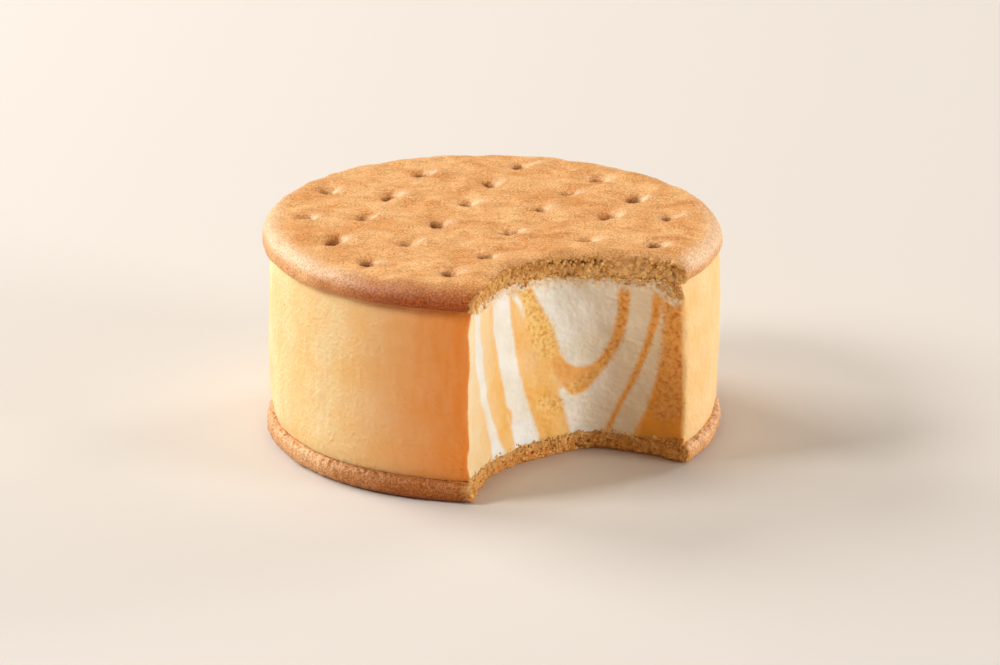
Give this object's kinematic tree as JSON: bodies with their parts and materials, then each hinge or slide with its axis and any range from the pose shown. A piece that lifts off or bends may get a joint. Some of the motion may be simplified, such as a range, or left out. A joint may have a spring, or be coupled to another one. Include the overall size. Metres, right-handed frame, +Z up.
{
  "type": "ice cream sandwich",
  "caption": "Round ice cream sandwich: a thick disc of swirled orange and cream ice between two baked biscuits, with a bite taken out of the rim.",
  "frame": {"origin": "middle of the underside, on the surface that the sandwich lies on", "axes": "+Z up through the layers, -Y towards the side with the bite, whose middle lies at the front right (+X, -Y)"},
  "size_m": [0.0801, 0.0798, 0.0385],
  "materials": {
    "top_biscuit": "matt baked biscuit, fine sandy crust",
    "ice_cream": "soft satin ice cream, swirled orange and cream",
    "bottom_biscuit": "matt baked biscuit, coarse sandy crust"
  },
  "bodies": {
    "root": {"top_biscuit": "top_biscuit", "ice_cream": "ice_cream", "bottom_biscuit": "bottom_biscuit"}
  },
  "joints": []
}
